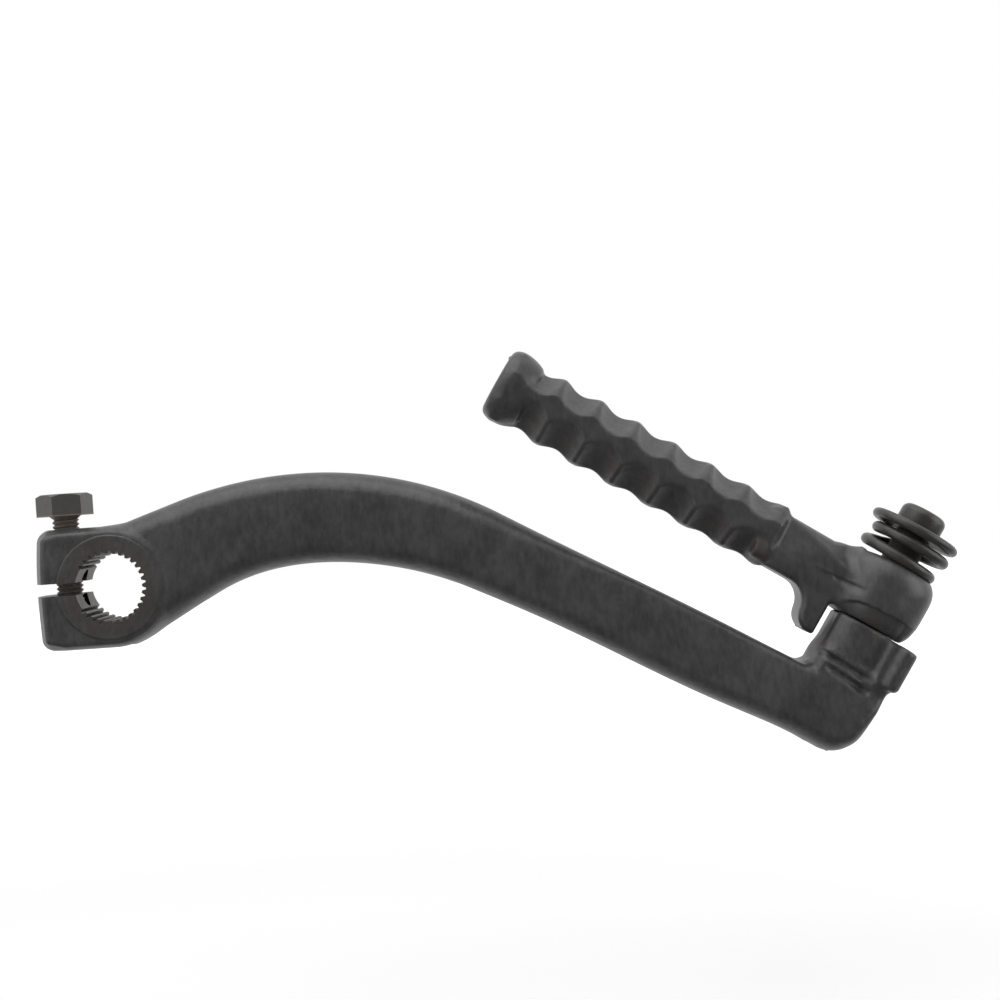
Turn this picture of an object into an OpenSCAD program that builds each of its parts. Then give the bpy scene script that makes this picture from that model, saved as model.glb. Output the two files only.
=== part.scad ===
// Kick start lever: a forged arm clamps on the serrated kick shaft at one end, and carries
// a folding foot peg on a spring loaded pivot pin at the other.
// The origin is the middle of the shaft bore. X runs along the clamp's slot towards the pedal,
// Y along the kick shaft and Z along the clamp bolt. The outer side of the lever faces -Y.

/* [Clamp hub] */
// Thickness of the hub along the kick shaft
hub_thick = 18; // [16:0.5:22]
// Height of the hub along the clamp bolt
hub_height = 27.4; // [26:0.2:32]
// Distance from the bore's axis to the hub's slotted end
hub_reach = 16.8; // [15.5:0.1:19]
// Rounding of the hub's upright edges at the slotted end
hub_edge = 3; // [1:0.25:4]
// Rounding of the hub's corners in the side view
hub_corner = 2.2; // [1:0.2:4]
// Chamfer along the hub's upper and lower edges
hub_chamfer = 1.6; // [0.5:0.1:3]
// Radius of the faced ring around the bore
ring_radius = 11.8; // [10.5:0.1:12.5]
// How far the faced ring stands proud of the hub on each side
ring_proud = 0.4; // [0.2:0.1:1]
// Width of the clamp's slot
slot_width = 2.8; // [2:0.1:3.6]

/* [Serrated bore] */
// Radius at the tips of the teeth, which grip the shaft
tip_radius = 7.5; // [7:0.05:7.6]
// Depth of the grooves between the teeth
tooth_depth = 1; // [0.6:0.05:1.2]
// Number of teeth that a full circle would hold
teeth = 32; // [24:1:40]
// Share of the pitch that a groove takes at the tips
groove_share = 0.62; // [0.4:0.02:0.66]
// Half of the angle beside the slot that is left smooth
smooth_angle = 36; // [20:1:60]

/* [Clamp bolt] */
// Radius of the bolt's thread
bolt_radius = 3; // [2.5:0.05:3.2]
// Clearance between the shaft's circle and the bolt
bolt_side_gap = 0.05; // [0.05:0.05:0.3]
// Length of the bolt under its head
bolt_length = 25; // [20:1:28]
// Bevel at the bolt's tip
bolt_tip = 0.8; // [0.4:0.1:1.5]
// How far the head stands off the clamp, as the bolt isn't tightened down
bolt_lift = 2.9; // [0:0.1:4]
// Distance across the flats of the head
head_flats = 11; // [9:0.5:12]
// Height of the head
head_height = 5; // [3:0.25:6]
// Turn of the head about the bolt
head_turn = 17; // [0:1:59]
// Radial clearance of the bolt in the upper jaw
bolt_play = 0.3; // [0.1:0.05:0.5]
// Radial clearance of the bolt in the lower jaw's thread
thread_play = 0.04; // [0.02:0.01:0.1]

/* [Arm] */
// How far the arm's centre line passes below the bore's axis
arm_drop = 0.55; // [0:0.05:3]
// Angle at which the arm leaves the hub, above X
rise_angle = 21.5; // [10:0.5:30]
// Angle at which the arm runs down to the elbow, below X
fall_angle = 29.5; // [20:0.5:40]
// Radius of the bend between them, on the centre line
bend_radius = 75; // [60:1:100]
// Length of the straight stretch between the hub and the bend
rise_length = 20.4; // [18:0.1:40]
// Length of the straight stretch between the bend and the elbow
fall_length = 83.9; // [60:0.1:110]
// Width of the arm in the side view where the bend starts
root_width = 22.2; // [18:0.2:26]
// Width of the arm at the top of the bend
crown_width = 20.4; // [16:0.1:24]
// Width of the arm where the bend ends
bend_width = 18; // [15:0.1:22]
// Width of the arm at the elbow
elbow_width = 15.7; // [14:0.1:20]
// Depth of the arm along Y where it leaves the hub
root_depth = 16.5; // [12:0.25:17]
// Depth of the arm along Y in its middle
middle_depth = 13.5; // [10:0.25:16]
// Depth of the arm along Y at the elbow
elbow_depth = 16; // [12:0.25:18]

/* [Elbow and collar] */
// Angle between the pivot's axis and Z
pivot_tilt = 33.5; // [25:0.5:45]
// Height of the collar's top above the arm's centre line, along the pivot
collar_height = 21.8; // [20:0.1:30]
// Radius of the collar where the pedal's tongue sweeps past
collar_radius = 9.2; // [8.5:0.1:9.8]
// Distance from the pivot's axis to the collar's flat
collar_flat = 6.8; // [6:0.1:8]
// Distance from the collar's top down to the elbow's shoulder
shoulder_drop = 9.1; // [8.8:0.1:12]
// Half of the elbow's depth along Y
elbow_half_depth = 10.4; // [9:0.1:12]
// Distance from the pivot's axis to the elbow's outer side
elbow_reach = 10.6; // [10:0.1:13]
// Radius of the elbow's outer corner
elbow_corner = 6.8; // [4:0.25:8]
// Distance from the pivot's axis to the stop lug's outer side
lug_reach = 11.5; // [10.8:0.1:13]
// Distance from the pivot's axis to the stop lug's front
lug_front = 13.6; // [12.5:0.1:15]
// Height of the stop lug's outer side
lug_height = 8; // [6:0.25:9]
// Gap between the tongue and the stop lug when the pedal is out
stop_gap = 0.3; // [0.1:0.05:0.6]

/* [Pivot pin and spring] */
// Radius of the pin's shank
pin_radius = 4; // [3:0.1:4.5]
// How far the pin is pressed into the arm
pin_seat = 19; // [12:0.5:24]
// Radius of the pin's head
pin_head_radius = 5.3; // [5:0.1:7]
// Height of the pin's head
pin_head_height = 4.3; // [3:0.1:6]
// Rounding of the pin's head
pin_head_round = 1.6; // [0.5:0.1:2.4]
// Radial clearance of the pedal on the pin
pin_play = 0.06; // [0.02:0.01:0.1]
// Radial clearance of the pin in the arm
pin_press = 0.01; // [0.01:0.01:0.03]
// Radius of the spring washer
washer_radius = 10.5; // [9:0.1:11.5]
// Thickness of the spring washer
washer_thick = 2; // [1:0.1:3]
// Outside radius of the spring
spring_radius = 9.7; // [9:0.1:10.5]
// Radius of the spring's wire
wire_radius = 1.25; // [0.8:0.05:1.3]
// Height that the spring is squeezed to
spring_height = 7.5; // [6.9:0.1:9]
// Turns of the spring
spring_turns = 1.78; // [1.6:0.02:1.78]
// Gap between a piece that turns and the one that it turns on
turn_gap = 0.3; // [0.1:0.05:0.5]
// Gap between a piece that is held and the one that it sits on
seat_gap = 0.05; // [0.02:0.01:0.1]

/* [Pedal] */
// Height of the pedal's hub along the pivot
barrel_height = 15.1; // [13:0.1:18]
// Largest radius of the pedal's hub
barrel_radius = 10.95; // [10.5:0.05:12.5]
// How much smaller the hub's radius is at its lower end
barrel_foot_drop = 1.9; // [0.5:0.1:3]
// How much smaller the hub's radius is at its upper end
barrel_top_drop = 2.8; // [0.5:0.1:3.5]
// Height of the peg's axis above the hub's lower end
peg_height = 6.9; // [6.5:0.1:7.5]
// Distance from the pivot to the peg's end
peg_reach = 99.7; // [80:0.5:130]
// Thickness of the peg across its flats at the outer end
peg_tip_flats = 15.6; // [14:0.1:18]
// Thickness of the peg across its flats at the inner end
peg_root_flats = 14.6; // [13:0.1:16]
// Radius of the rim at the peg's end
rim_radius = 8.8; // [8:0.1:10]
// Width of the rim at the peg's end
rim_width = 5; // [3:0.25:8]
// How much the rim widens on its inner side
rim_flare = 1; // [0.5:0.25:2]
// Bevel of the rim on its outer side
rim_bevel = 2.5; // [1:0.25:3]
// Distance from the pivot to the first scallop's middle
scallop_start = 33.5; // [32:0.1:45]
// Distance from one scallop to the next
scallop_pitch = 9.53; // [8:0.01:12]
// How much nearer to the pivot the lower scallops are than the upper ones
lower_row_shift = 1.2; // [0:0.1:2]
// Radius of the scallops
scallop_radius = 6.1; // [5:0.1:8]
// Distance from the peg's axis to the floor of the upper scallops
upper_floor = 5.8; // [5:0.1:6.5]
// Distance from the peg's axis to the floor of the lower scallops
lower_floor = 5.3; // [5:0.1:6.5]
// Tilt of the upper rows of scallops above the peg's middle plane
upper_row_angle = 63; // [45:1:75]
// Tilt of the lower rows of scallops below the peg's middle plane
lower_row_angle = 52; // [40:1:70]
// Height of the neck between hub and peg
neck_height = 12.3; // [10:0.1:14]
// Depth of the neck along Y
neck_depth = 13.6; // [10:0.1:15]
// Bevel along the neck's edges
neck_bevel = 3; // [1:0.25:4]
// Distance from the pivot's axis to the tongue's inner face
tongue_inner = 10.2; // [10.1:0.1:11.5]
// Thickness of the tongue
tongue_thick = 4.5; // [4:0.1:6]
// Half of the tongue's width
tongue_half = 6.6; // [5:0.1:7]
// How far the tongue reaches below the pedal's hub
tongue_drop = 8; // [6:0.1:8.4]

/* [Hidden] */
$fn = 96;

paint = [0.17, 0.17, 0.18];
dark_steel = [0.30, 0.29, 0.29];
overlap = 1;

bolt_x = -(tip_radius + bolt_side_gap + bolt_radius);
bolt_top = hub_height / 2 + bolt_lift;

bend_start = [rise_length * cos(rise_angle), rise_length * sin(rise_angle) - arm_drop];
bend_centre = bend_start + bend_radius * [sin(rise_angle), -cos(rise_angle)];
bend_end = bend_centre + bend_radius * [sin(fall_angle), cos(fall_angle)];
corner = bend_end + fall_length * [cos(fall_angle), -sin(fall_angle)];
bend_angle = rise_angle + fall_angle;
bend_length = bend_radius * bend_angle * PI / 180;
arm_length = rise_length + bend_length + fall_length;
arm_sides = 28;
arm_rings = 34;
arm_squareness = 3.6;

pivot = corner + (collar_height + turn_gap) * [sin(pivot_tilt), cos(pivot_tilt)];
lug_inner = tongue_half + stop_gap;

spring_low = barrel_height + turn_gap;
washer_low = spring_low + spring_height;
head_low = washer_low + washer_thick + seat_gap;
coil_radius = spring_radius - wire_radius;
coil_steps = 26;
coil_sides = 10;

scallops = floor((peg_reach - rim_width - scallop_start) / scallop_pitch) + 1;
octagon = 1 / cos(22.5);
shoulder_run = 1.8;

// Centre line of the arm, as [x, z], from the bore's axis to the elbow
function arm_point(s) =
    s < rise_length ? bend_start - (rise_length - s) * [cos(rise_angle), sin(rise_angle)]
    : s > rise_length + bend_length
    ? bend_end + (s - rise_length - bend_length) * [cos(fall_angle), -sin(fall_angle)]
    : bend_centre + bend_radius * [-sin(arm_slope(s)), cos(arm_slope(s))];

// Slope of the centre line above X
function arm_slope(s) =
    rise_angle - bend_angle * min(max((s - rise_length) / bend_length, 0), 1);

// Width and depth of the arm along its centre line
function arm_width(s) = lookup(s, [
    [0, hub_height - hub_chamfer / 2],
    [rise_length, root_width],
    [rise_length + bend_length / 2, crown_width],
    [rise_length + bend_length, bend_width],
    [arm_length, elbow_width]]);
function arm_depth(s) = lookup(s, [
    [0, root_depth],
    [rise_length, root_depth - 0.5],
    [rise_length + bend_length / 2, middle_depth],
    [arm_length - elbow_width, middle_depth],
    [arm_length, elbow_depth]]);

// A rounded rectangle's edge: values from -1 to 1 that leave its corners soft
function soft(v) = sign(v) * pow(abs(v), 2 / arm_squareness);

function arm_ring(s) = [
    for (i = [0:arm_sides - 1])
        let (
            turn = 360 * (i + 0.5) / arm_sides,
            across = soft(sin(turn)) * arm_width(s) / 2,
            deep = soft(cos(turn)) * arm_depth(s) / 2,
            at = arm_point(s) + across * [-sin(arm_slope(s)), cos(arm_slope(s))]
        )
        [at[0], deep, at[1]]];

// Closed skin over rings of points, each with the same number of sides
function skin_faces(rings, sides) = [
    [for (i = [0:sides - 1]) i],
    for (r = [0:rings - 2])
        for (i = [0:sides - 1])
            let (next = (i + 1) % sides)
            [r * sides + next, r * sides + i, (r + 1) * sides + i, (r + 1) * sides + next],
    [for (i = [sides - 1:-1:0]) (rings - 1) * sides + i]];

// Puts what is drawn along +Z on the pivot's axis, with the pedal hub's lower end at zero
module at_pivot() {
    translate([pivot[0], 0, pivot[1]])
        rotate([0, pivot_tilt, 0])
            children();
}

// Lays a shape drawn in X and Z along Y, centred
module along_y(length) {
    rotate([90, 0, 0])
        linear_extrude(height = length, center = true)
            children();
}

// A rectangle with round corners, centred on its middle
module round_rect(size, radius) {
    square([size[0] - 2 * radius, size[1]], center = true);
    square([size[0], size[1] - 2 * radius], center = true);
    for (x = [-1, 1])
        for (y = [-1, 1])
            translate([x * (size[0] / 2 - radius), y * (size[1] / 2 - radius)])
                circle(radius);
}

// A rectangle with its corners cut off, centred on its middle
module cut_rect(size, cut) {
    w = size[0] / 2;
    h = size[1] / 2;
    polygon([
        [-w + cut, -h], [w - cut, -h], [w, -h + cut], [w, h - cut],
        [w - cut, h], [-w + cut, h], [-w, h - cut], [-w, -h + cut]]);
}

// The hub: a block around the slot that turns into a round eye, with a faced ring on each side
module clamp_hub() {
    face = hub_thick - 2 * ring_proud;
    block = 2 * hub_reach;
    eye = hub_height / 2;
    intersection() {
        along_y(face)
            round_rect([block, hub_height], hub_corner);
        linear_extrude(height = hub_height, center = true)
            round_rect([block, face], hub_edge);
        translate([-hub_reach / 2, 0, 0])
            rotate([90, 0, 90])
                linear_extrude(height = hub_reach, center = true)
                    cut_rect([face, hub_height], hub_chamfer);
    }
    rotate([90, 0, 0])
        rotate_extrude()
            polygon([
                [0, -face / 2], [eye - hub_chamfer, -face / 2], [eye, hub_chamfer - face / 2],
                [eye, face / 2 - hub_chamfer], [eye - hub_chamfer, face / 2], [0, face / 2]]);
    rotate([90, 0, 0])
        cylinder(r = ring_radius, h = hub_thick, center = true);
}

// The serrated bore: a round hole at the tips of the teeth, and a groove beside each tooth
module serrated_bore() {
    pitch = 2 * tip_radius * sin(180 / teeth);
    half = groove_share * pitch / 2;
    tall = hub_thick + 2 * overlap;
    rotate([90, 0, 0]) {
        cylinder(r = tip_radius, h = tall, center = true);
        for (i = [0:teeth - 1])
            let (at = 360 * (i + 0.5) / teeth)
            if (abs(at - 180) > smooth_angle)
                rotate(at)
                    linear_extrude(height = tall, center = true)
                        polygon([
                            [tip_radius - overlap, half],
                            [tip_radius, half],
                            [tip_radius + tooth_depth, 0],
                            [tip_radius, -half],
                            [tip_radius - overlap, -half]]);
    }
}

// The slot through the hub's end and the bolt's holes, wide above it and threaded below
module clamp_cuts() {
    translate([-hub_reach - overlap, -hub_thick / 2 - overlap, -slot_width / 2])
        cube([hub_reach + overlap, hub_thick + 2 * overlap, slot_width]);
    translate([bolt_x, 0, 0]) {
        cylinder(r = bolt_radius + bolt_play, h = hub_height / 2 + overlap);
        translate([0, 0, -hub_height / 2 - overlap])
            cylinder(r = bolt_radius + thread_play, h = hub_height / 2 + overlap);
    }
}

// The bent beam between hub and elbow
module arm_beam() {
    lengths = [for (i = [0:arm_rings - 1]) arm_length * i / (arm_rings - 1)];
    polyhedron(
        points = [for (s = lengths) each arm_ring(s)],
        faces = skin_faces(arm_rings, arm_sides),
        convexity = 4);
}

// The elbow: a heavy rounded block that turns the arm up to the pivot
module elbow() {
    soft_rim = 2.5;
    top = -turn_gap - shoulder_drop - soft_rim;
    bottom = -turn_gap - collar_height - elbow_width / 2 + elbow_corner + soft_rim / 5;
    inner = -elbow_width / 2 + soft_rim / 2;
    hull() {
        for (at = [
            [elbow_reach - elbow_corner, bottom, elbow_corner],
            [inner, bottom, elbow_corner],
            [elbow_reach - soft_rim, top, soft_rim],
            [inner / 2, top, soft_rim]])
            translate([at[0], 0, at[1]])
                rotate([90, 0, 0]) {
                    cylinder(r = at[2], h = 2 * (elbow_half_depth - soft_rim), center = true, $fn = 32);
                    cylinder(r = at[2] - soft_rim / 2, h = 2 * elbow_half_depth, center = true, $fn = 32);
                }
    }
}

// The collar that the pedal turns on, flat beside the tongue, with the lug that stops it
module collar() {
    tall = shoulder_drop + overlap;
    lug_bevel = 1;
    translate([0, 0, -turn_gap - tall])
        intersection() {
            cylinder(r = collar_radius, h = tall);
            translate([-collar_flat, -collar_radius, 0])
                cube([collar_flat + collar_radius, 2 * collar_radius, tall]);
        }
    translate([0, 0, -turn_gap])
        rotate([90, 0, 0])
            translate([0, 0, -collar_flat])
                linear_extrude(height = lug_front + collar_flat)
                    polygon([
                        [lug_inner, 0],
                        [lug_reach - lug_bevel, 0],
                        [lug_reach, -lug_bevel],
                        [lug_reach, -lug_height],
                        [lug_reach - lug_bevel, -tall - overlap],
                        [lug_inner, -tall - overlap]]);
}

// One forging: hub, beam, elbow and collar, then bored, slotted and serrated
module arm() {
    color(paint)
        difference() {
            union() {
                clamp_hub();
                arm_beam();
                at_pivot() {
                    elbow();
                    collar();
                }
            }
            serrated_bore();
            clamp_cuts();
            at_pivot()
                translate([0, 0, -turn_gap - pin_seat])
                    cylinder(r = pin_radius + pin_press, h = pin_seat + overlap);
        }
}

// Hexagon bolt through the clamp's jaws, with its head's top corners turned off
module clamp_bolt() {
    head_corner = head_flats / 2 / cos(30);
    crown = head_flats / 2 - bolt_tip / 4;
    color(dark_steel)
        translate([bolt_x, 0, bolt_top])
            union() {
                intersection() {
                    rotate(head_turn)
                        cylinder(r = head_corner, h = head_height, $fn = 6);
                    cylinder(r1 = crown + head_height * tan(60), r2 = crown, h = head_height);
                }
                translate([0, 0, bolt_tip - bolt_length])
                    cylinder(r = bolt_radius, h = bolt_length - bolt_tip + overlap);
                translate([0, 0, -bolt_length])
                    cylinder(r1 = bolt_radius - bolt_tip, r2 = bolt_radius, h = bolt_tip);
            }
}

// Headed pin: pressed into the collar, it carries pedal, spring and washer
module pivot_pin() {
    low = -turn_gap - pin_seat + seat_gap;
    color(paint)
        at_pivot()
            rotate_extrude()
                union() {
                    translate([0, low])
                        square([pin_radius, head_low - low + overlap]);
                    translate([0, head_low])
                        square([pin_head_radius, pin_head_height - pin_head_round]);
                    translate([0, head_low])
                        square([pin_head_radius - pin_head_round, pin_head_height]);
                    intersection() {
                        translate([
                            pin_head_radius - pin_head_round,
                            head_low + pin_head_height - pin_head_round])
                            circle(pin_head_round);
                        square([2 * pin_head_radius, head_low + pin_head_height + overlap]);
                    }
                }
}

// Washer between the pin's head and the spring, with a rounded rim
module spring_washer() {
    color(paint)
        at_pivot()
            translate([0, 0, washer_low])
                rotate_extrude() {
                    inner = pin_radius + pin_play;
                    translate([inner, 0])
                        square([washer_radius - washer_thick / 2 - inner, washer_thick]);
                    translate([washer_radius - washer_thick / 2, washer_thick / 2])
                        circle(washer_thick / 2);
                }
}

// Height of the wire's centre: flat on the pedal, up behind, flat in front, up again behind
function coil_height(turn) =
    let (
        low = spring_low + wire_radius,
        high = spring_low + spring_height - wire_radius - seat_gap,
        share = lookup(turn, [[0, 0], [0.5, 0.08], [0.78, 0.42], [0.92, 0.76], [1.5, 0.78], [1.78, 1]])
    )
    low + (high - low) * share;

function coil_ring(turn) = [
    for (i = [0:coil_sides - 1])
        let (
            round = 360 * i / coil_sides,
            out = coil_radius + wire_radius * cos(round)
        )
        [out * cos(-360 * turn), out * sin(-360 * turn), coil_height(turn) + wire_radius * sin(round)]];

// Left handed coil of heavy wire that presses the pedal down on its collar
module spring() {
    rings = ceil(coil_steps * spring_turns) + 1;
    color(paint)
        at_pivot()
            polyhedron(
                points = [for (r = [0:rings - 1]) each coil_ring(spring_turns * r / (rings - 1))],
                faces = skin_faces(rings, coil_sides),
                convexity = 6);
}

// The crowned side of the pedal's hub: its radius from the foot up to the top
function barrel_side(h) =
    let (
        middle = barrel_height * 0.55,
        share = abs(h - middle) / (h < middle ? middle : barrel_height - middle)
    )
    barrel_radius - (h < middle ? barrel_foot_drop : barrel_top_drop) * pow(share, 3.2);

module barrel() {
    steps = 14;
    rotate_extrude()
        polygon([
            [0, 0],
            for (i = [0:steps]) [barrel_side(barrel_height * i / steps), barrel_height * i / steps],
            [0, barrel_height]]);
}

// Lays a shape drawn along +Z out along the peg, away from the pivot
module along_peg() {
    translate([0, 0, peg_height])
        rotate([0, -90, 0])
            children();
}

// Eight sided bar with a round rim at its end
module peg_bar() {
    start = scallop_start - scallop_pitch / 2 - shoulder_run;
    along_peg() {
        translate([0, 0, start])
            rotate(22.5)
                cylinder(
                    r1 = peg_root_flats / 2 * octagon,
                    r2 = peg_tip_flats / 2 * octagon,
                    h = peg_reach - overlap - start,
                    $fn = 8);
        translate([0, 0, peg_reach - rim_width])
            cylinder(r1 = rim_radius - rim_flare, r2 = rim_radius, h = rim_width / 2);
        translate([0, 0, peg_reach - rim_width / 2])
            cylinder(r1 = rim_radius, r2 = rim_radius - rim_bevel, h = rim_width / 2);
    }
}

// One row of scallops: round grooves across the bar, all facing the same way
module scallop_row(facing, floor_at, shift) {
    wide = 2 * peg_tip_flats;
    along_peg()
        rotate(facing)
            for (i = [0:scallops - 1])
                translate([floor_at + scallop_radius, 0, scallop_start - shift + i * scallop_pitch])
                    rotate([90, 0, 0])
                        cylinder(r = scallop_radius, h = wide, center = true);
}

// Flattened neck from the hub to the peg, which rises to the hub's top in a small slope
module neck() {
    long = scallop_start - scallop_pitch / 2 + overlap;
    top = peg_height + neck_height / 2;
    brim = barrel_top_drop - barrel_radius;
    step = barrel_height - top;
    along_peg()
        linear_extrude(height = long)
            cut_rect([neck_height, neck_depth], neck_bevel);
    along_y(neck_depth / 2)
        polygon([
            [0, top - step],
            [brim - 3 * step, top - step],
            [brim - 2.5 * step, top],
            [brim - step, top + step / 2],
            [brim + step / 2, barrel_height],
            [0, barrel_height]]);
}

// Tongue under the neck: it hangs beside the collar and meets the stop lug when the pedal is out
module tongue() {
    outer = tongue_inner + tongue_thick;
    round = 2;
    edge = 0.5;
    intersection() {
        along_y(2 * tongue_half)
            polygon([
                [-tongue_inner, 0],
                [-tongue_inner, edge - tongue_drop],
                [-tongue_inner - edge, -tongue_drop],
                [round - outer, edge - tongue_drop],
                [-outer, edge + round - tongue_drop],
                [-outer, -tongue_drop / 2],
                [-outer - round / 2, -round],
                [-outer - 2 * round, 0],
                [-outer - 5 * round, peg_height],
                [0, peg_height],
                [0, 0]]);
        translate([-outer, 0, 0])
            rotate([90, 0, 90])
                linear_extrude(height = 4 * outer, center = true)
                    translate([0, (2 * peg_height - tongue_drop) / 2])
                        round_rect([2 * tongue_half, 2 * peg_height + tongue_drop], round);
    }
}

// One forging: hub, neck, scalloped peg and tongue, then bored for the pin
module pedal() {
    color(paint)
        at_pivot()
            difference() {
                union() {
                    barrel();
                    neck();
                    peg_bar();
                    tongue();
                }
                for (side = [-1, 1]) {
                    scallop_row(side * (90 - upper_row_angle), upper_floor, 0);
                    scallop_row(side * (90 + lower_row_angle), lower_floor, lower_row_shift);
                }
                translate([0, 0, -overlap])
                    cylinder(r = pin_radius + pin_play, h = barrel_height + 2 * overlap);
            }
}

arm();
clamp_bolt();
pedal();
pivot_pin();
spring();
spring_washer();
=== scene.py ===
"""Kick start lever: a forged arm that clamps on the kick shaft, with a folding foot pedal on a
spring loaded pivot pin. Metres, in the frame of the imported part: X along the clamp's slot
towards the pedal, Y along the kick shaft, Z along the clamp bolt. The outer side faces -Y."""

import math

import bpy
import numpy as np
from mathutils import Matrix, Vector


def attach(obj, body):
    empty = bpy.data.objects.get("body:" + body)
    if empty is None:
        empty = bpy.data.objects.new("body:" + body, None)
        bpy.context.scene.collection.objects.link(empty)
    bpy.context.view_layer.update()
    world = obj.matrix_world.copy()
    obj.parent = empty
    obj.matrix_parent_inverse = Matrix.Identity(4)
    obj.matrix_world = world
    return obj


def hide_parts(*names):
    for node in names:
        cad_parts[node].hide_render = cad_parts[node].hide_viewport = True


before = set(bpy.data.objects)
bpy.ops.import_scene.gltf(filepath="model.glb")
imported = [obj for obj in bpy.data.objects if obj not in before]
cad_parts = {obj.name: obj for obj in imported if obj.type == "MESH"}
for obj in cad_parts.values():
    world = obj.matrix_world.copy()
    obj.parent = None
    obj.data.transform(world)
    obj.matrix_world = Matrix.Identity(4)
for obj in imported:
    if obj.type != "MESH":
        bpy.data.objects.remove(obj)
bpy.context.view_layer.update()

# ---------------------------------------------------------------------------------------------
# Arm: one drop forging of hub, bent beam, elbow and collar. Its shapes run into each other with
# fillets, and the dies leave a crowned front and heavy rounding. The bore is broached afterwards.
# It is clamped on the kick shaft and everything else hangs on it.
# ---------------------------------------------------------------------------------------------
MM = 0.001

# The beam's centre line, in millimetres: a straight rise, one bend and a long straight fall.
RISE, FALL = math.radians(21.5), math.radians(29.5)
STRAIGHT, BEND, FALL_LENGTH = 20.4, 75.0, 83.9
BEND_START = np.array([18.98, 6.93])
BEND_CENTRE = BEND_START + BEND * np.array([math.sin(RISE), -math.cos(RISE)])
BEND_END = BEND_CENTRE + BEND * np.array([math.sin(FALL), math.cos(FALL)])
BEND_LENGTH = BEND * (RISE + FALL)
ARM_LENGTH = STRAIGHT + BEND_LENGTH + FALL_LENGTH

# The pedal's pivot in X and Z, and the directions along it and outwards from it.
TILT = math.radians(33.5)
PIVOT = np.array([168.62, -20.463])
UP = np.array([math.sin(TILT), math.cos(TILT)])
OUT = np.array([math.cos(TILT), -math.sin(TILT)])


def join(a, b, fillet):
    """Both solids as one, with a fillet of that radius where they meet."""
    return np.maximum(fillet, np.minimum(a, b)) - np.hypot(
        np.maximum(fillet - a, 0), np.maximum(fillet - b, 0))


def trim(a, b, edge):
    """What two solids share, with the edge where they meet rounded to that radius."""
    return np.minimum(-edge, np.maximum(a, b)) + np.hypot(
        np.maximum(edge + a, 0), np.maximum(edge + b, 0))


def plate(outline, across, half, edge, deep=1):
    """A flat outline given thickness. Its rounded edges run down the sides deep times as far."""
    return trim(outline, (np.abs(across) - half) / deep, edge)


def round_box(x, z, low, high, radii):
    """Distance to a rectangle. radii: lower left, lower right, upper left, upper right."""
    middle, half = (np.array(low) + high) / 2, (np.array(high) - low) / 2
    x, z = x - middle[0], z - middle[1]
    r = np.where(z < 0, np.where(x < 0, radii[0], radii[1]), np.where(x < 0, radii[2], radii[3]))
    qx, qz = np.abs(x) - half[0] + r, np.abs(z) - half[1] + r
    return np.minimum(np.maximum(qx, qz), 0) + np.hypot(np.maximum(qx, 0), np.maximum(qz, 0)) - r


def flow(knots, values, order):
    """A smooth run of a size through a few measured values."""
    return np.polynomial.Polynomial.fit(knots, values, order)


def along_arm(x, z):
    """Distance along the arm's centre line and across it, upwards."""
    turn = np.arctan2(x - BEND_CENTRE[0], z - BEND_CENTRE[1])
    near = x - BEND_START[0], z - BEND_START[1]
    far = x - BEND_END[0], z - BEND_END[1]
    s = np.where(
        turn < -RISE, STRAIGHT + near[0] * math.cos(RISE) + near[1] * math.sin(RISE),
        np.where(turn < FALL, STRAIGHT + BEND * (turn + RISE),
                 STRAIGHT + BEND_LENGTH + far[0] * math.cos(FALL) - far[1] * math.sin(FALL)))
    n = np.where(
        turn < -RISE, near[1] * math.cos(RISE) - near[0] * math.sin(RISE),
        np.where(turn < FALL, np.hypot(x - BEND_CENTRE[0], z - BEND_CENTRE[1]) - BEND,
                 far[0] * math.sin(FALL) + far[1] * math.cos(FALL)))
    return s, n


def at_pivot(x, z):
    """Distance from the pivot's axis, outwards, and along it, up from the pedal's lower end."""
    dx, dz = x - PIVOT[0], z - PIVOT[1]
    return dx * OUT[0] + dz * OUT[1], dx * UP[0] + dz * UP[1]


# How far the beam's edges stand above and below its centre line, and its depth, all along it.
STATIONS = [0, 5, 10, 15, 20, 25, 30, 40, 60, 80, 95, 120, 150, 171]
ABOVE = [12.6, 12.5, 12.3, 12.0, 11.8, 11.5, 11.15, 10.6, 10.0, 9.25, 9.0, 8.8, 8.4, 8.2]
BELOW = [13.1, 12.9, 12.4, 11.5, 10.8, 10.45, 10.35, 10.3, 10.15, 9.7, 8.85, 8.2, 8.05, 7.6]
upper_edge, lower_edge = flow(STATIONS, ABOVE, 7), flow(STATIONS, BELOW, 7)
waist = flow([0, 20, 50, 90, 140, 171], [17.6, 16.6, 14.6, 13.6, 13.9, 14.4], 4)
SWELL, SWELL_START, SWELL_LENGTH = 3.2, 138, 28
# The elbow's block as seen from the front, from the pivot, and the radii of its corners.
ELBOW_LOW, ELBOW_HIGH, ELBOW_CORNERS = [-6, -29.6], [10.85, -9.4], [2, 7.2, 1.5, 3]
# The dies crown the faces, more above the middle, and round the lower edge.
CROWN_ABOVE, CROWN_BELOW, LOWER_ROUND = 1.2, 0.5, 4.6


def half_depth(s):
    """Half the arm's depth along the shaft. It swells to the elbow's over the last stretch."""
    share = np.clip((s - SWELL_START) / SWELL_LENGTH, 0, 1)
    return waist(s) / 2 + SWELL * share ** 2 * (3 - 2 * share)


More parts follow.
